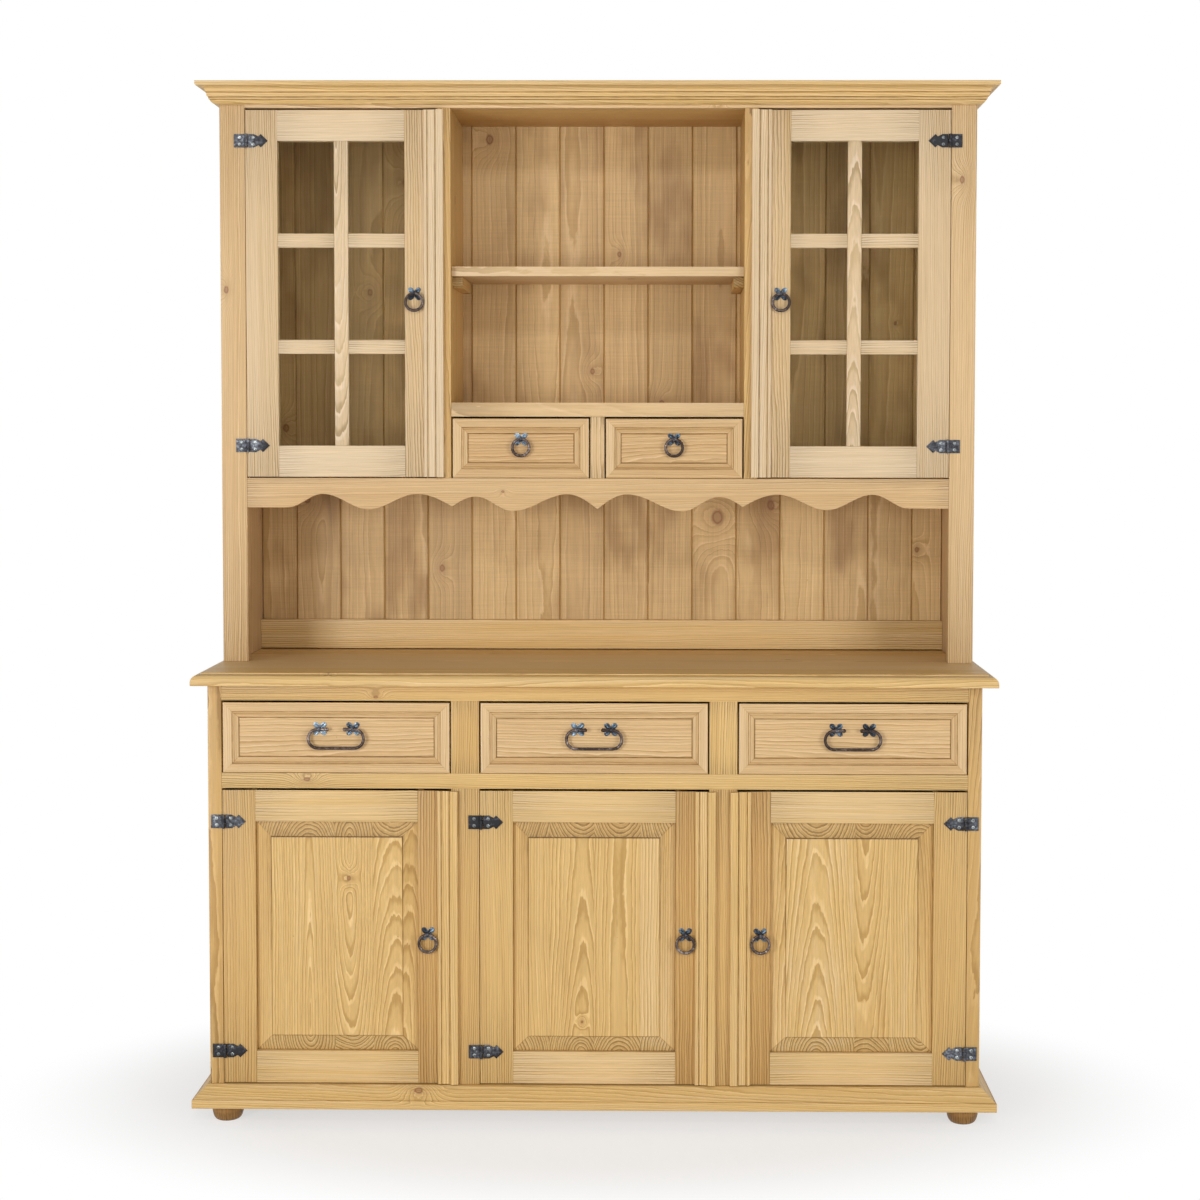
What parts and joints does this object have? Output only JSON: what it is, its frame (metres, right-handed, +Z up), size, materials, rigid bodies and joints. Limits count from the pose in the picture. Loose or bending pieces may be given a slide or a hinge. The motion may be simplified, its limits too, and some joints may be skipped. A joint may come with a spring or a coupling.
{
  "type": "display cabinet",
  "caption": "Pine dresser: a base with drawers over panelled cupboards, and a hutch with glazed cupboards, an open shelf, small drawers and a scalloped valance over a niche.",
  "frame": {"origin": "on the floor, under the middle of the overall box", "axes": "+Z up, +X to the right seen from the front, front towards -Y"},
  "size_m": [1.5892, 0.4672, 2.0374],
  "materials": {
    "waxed_pine": "waxed, brushed grain",
    "pale_pine": "waxed, paler",
    "sawn_pine": "rough sawn, darker",
    "burnished_iron": "dark burnished",
    "clear_glass": "clear"
  },
  "bodies": {
    "case": {"base_side_left": "waxed_pine", "base_side_right": "waxed_pine", "base_partition_left": "waxed_pine", "base_partition_right": "waxed_pine", "base_bottom_with_feet": "waxed_pine", "base_back": "sawn_pine", "base_face_frame": "waxed_pine", "plinth": "waxed_pine", "countertop": "waxed_pine", "hutch_side_left": "waxed_pine", "hutch_side_right": "waxed_pine", "hutch_face_frame": "waxed_pine", "hutch_partition_left": "waxed_pine", "hutch_partition_right": "waxed_pine", "hutch_top": "waxed_pine", "hutch_deck": "waxed_pine", "hutch_back_boards": "sawn_pine", "cornice": "waxed_pine", "valance": "waxed_pine", "compartment_floor": "waxed_pine", "compartment_shelf": "waxed_pine", "shelf_cleat_left": "waxed_pine", "shelf_cleat_right": "waxed_pine", "small_drawer_divider": "waxed_pine", "niche_back_rail": "waxed_pine", "base_door_left_lower_hinge": "burnished_iron", "base_door_left_upper_hinge": "burnished_iron", "base_door_middle_lower_hinge": "burnished_iron", "base_door_middle_upper_hinge": "burnished_iron", "base_door_right_lower_hinge": "burnished_iron", "base_door_right_upper_hinge": "burnished_iron", "glazed_door_left_lower_hinge": "burnished_iron", "glazed_door_left_upper_hinge": "burnished_iron", "glazed_door_right_lower_hinge": "burnished_iron", "glazed_door_right_upper_hinge": "burnished_iron"},
    "base_door_left": {"base_door_left_frame": "waxed_pine", "base_door_left_panel": "waxed_pine"},
    "base_door_left_ring": {"base_door_left_ring": "burnished_iron"},
    "base_door_middle": {"base_door_middle_frame": "waxed_pine", "base_door_middle_panel": "waxed_pine"},
    "base_door_middle_ring": {"base_door_middle_ring": "burnished_iron"},
    "base_door_right": {"base_door_right_frame": "waxed_pine", "base_door_right_panel": "waxed_pine"},
    "base_door_right_ring": {"base_door_right_ring": "burnished_iron"},
    "glazed_door_left": {"glazed_door_left_frame": "pale_pine", "glazed_door_left_glass": "clear_glass"},
    "glazed_door_left_ring": {"glazed_door_left_ring": "burnished_iron"},
    "glazed_door_right": {"glazed_door_right_frame": "pale_pine", "glazed_door_right_glass": "clear_glass"},
    "glazed_door_right_ring": {"glazed_door_right_ring": "burnished_iron"},
    "drawer_left": {"drawer_left": "waxed_pine"},
    "drawer_left_bail": {"drawer_left_bail": "burnished_iron"},
    "drawer_middle": {"drawer_middle": "waxed_pine"},
    "drawer_middle_bail": {"drawer_middle_bail": "burnished_iron"},
    "drawer_right": {"drawer_right": "waxed_pine"},
    "drawer_right_bail": {"drawer_right_bail": "burnished_iron"},
    "small_drawer_left": {"small_drawer_left": "waxed_pine"},
    "small_drawer_left_ring": {"small_drawer_left_ring": "burnished_iron"},
    "small_drawer_right": {"small_drawer_right": "waxed_pine"},
    "small_drawer_right_ring": {"small_drawer_right_ring": "burnished_iron"}
  },
  "joints": [
    {"name": "base_door_left_swing", "type": "hinge", "parent": "case", "child": "base_door_left", "pos_m": [-0.7176, -0.20715, 0.36625], "axis": [0, 0, -1], "range_deg": [0, 105]},
    {"name": "base_door_left_ring_swing", "type": "hinge", "parent": "base_door_left", "child": "base_door_left_ring", "pos_m": [-0.32193, -0.21285, 0.37275], "axis": [-1, 0, 0], "range_deg": [0, 85]},
    {"name": "base_door_middle_swing", "type": "hinge", "parent": "case", "child": "base_door_middle", "pos_m": [-0.21873, -0.20715, 0.36625], "axis": [0, 0, -1], "range_deg": [0, 105]},
    {"name": "base_door_middle_ring_swing", "type": "hinge", "parent": "base_door_middle", "child": "base_door_middle_ring", "pos_m": [0.17693, -0.21285, 0.37275], "axis": [-1, 0, 0], "range_deg": [0, 85]},
    {"name": "base_door_right_swing", "type": "hinge", "parent": "case", "child": "base_door_right", "pos_m": [0.7176, -0.20715, 0.36625], "axis": [0, 0, 1], "range_deg": [0, 105]},
    {"name": "base_door_right_ring_swing", "type": "hinge", "parent": "base_door_right", "child": "base_door_right_ring", "pos_m": [0.32193, -0.21285, 0.37275], "axis": [-1, 0, 0], "range_deg": [0, 85]},
    {"name": "glazed_door_left_swing", "type": "hinge", "parent": "case", "child": "glazed_door_left", "pos_m": [-0.7009, -0.03115, 1.6207], "axis": [0, 0, -1], "range_deg": [0, 105]},
    {"name": "glazed_door_left_ring_swing", "type": "hinge", "parent": "glazed_door_left", "child": "glazed_door_left_ring", "pos_m": [-0.366, -0.03685, 1.6207], "axis": [-1, 0, 0], "range_deg": [0, 85]},
    {"name": "glazed_door_right_swing", "type": "hinge", "parent": "case", "child": "glazed_door_right", "pos_m": [0.7009, -0.03115, 1.6207], "axis": [0, 0, 1], "range_deg": [0, 105]},
    {"name": "glazed_door_right_ring_swing", "type": "hinge", "parent": "glazed_door_right", "child": "glazed_door_right_ring", "pos_m": [0.366, -0.03685, 1.6207], "axis": [-1, 0, 0], "range_deg": [0, 85]},
    {"name": "drawer_left_slide", "type": "slide", "parent": "case", "child": "drawer_left", "axis": [0, -1, 0], "range_m": [0, 0.3]},
    {"name": "drawer_left_bail_swing", "type": "hinge", "parent": "drawer_left", "child": "drawer_left_bail", "pos_m": [-0.49887, -0.20585, 0.771], "axis": [-1, 0, 0], "range_deg": [0, 85]},
    {"name": "drawer_middle_slide", "type": "slide", "parent": "case", "child": "drawer_middle", "axis": [0, -1, 0], "range_m": [0, 0.3]},
    {"name": "drawer_middle_bail_swing", "type": "hinge", "parent": "drawer_middle", "child": "drawer_middle_bail", "pos_m": [0, -0.20585, 0.771], "axis": [-1, 0, 0], "range_deg": [0, 85]},
    {"name": "drawer_right_slide", "type": "slide", "parent": "case", "child": "drawer_right", "axis": [0, -1, 0], "range_m": [0, 0.3]},
    {"name": "drawer_right_bail_swing", "type": "hinge", "parent": "drawer_right", "child": "drawer_right_bail", "pos_m": [0.49887, -0.20585, 0.771], "axis": [-1, 0, 0], "range_deg": [0, 85]},
    {"name": "small_drawer_left_slide", "type": "slide", "parent": "case", "child": "small_drawer_left", "axis": [0, -1, 0], "range_m": [0, 0.16]},
    {"name": "small_drawer_left_ring_swing", "type": "hinge", "parent": "small_drawer_left", "child": "small_drawer_left_ring", "pos_m": [-0.15375, -0.02985, 1.3307], "axis": [-1, 0, 0], "range_deg": [0, 85]},
    {"name": "small_drawer_right_slide", "type": "slide", "parent": "case", "child": "small_drawer_right", "axis": [0, -1, 0], "range_m": [0, 0.16]},
    {"name": "small_drawer_right_ring_swing", "type": "hinge", "parent": "small_drawer_right", "child": "small_drawer_right_ring", "pos_m": [0.15375, -0.02985, 1.3307], "axis": [-1, 0, 0], "range_deg": [0, 85]}
  ]
}
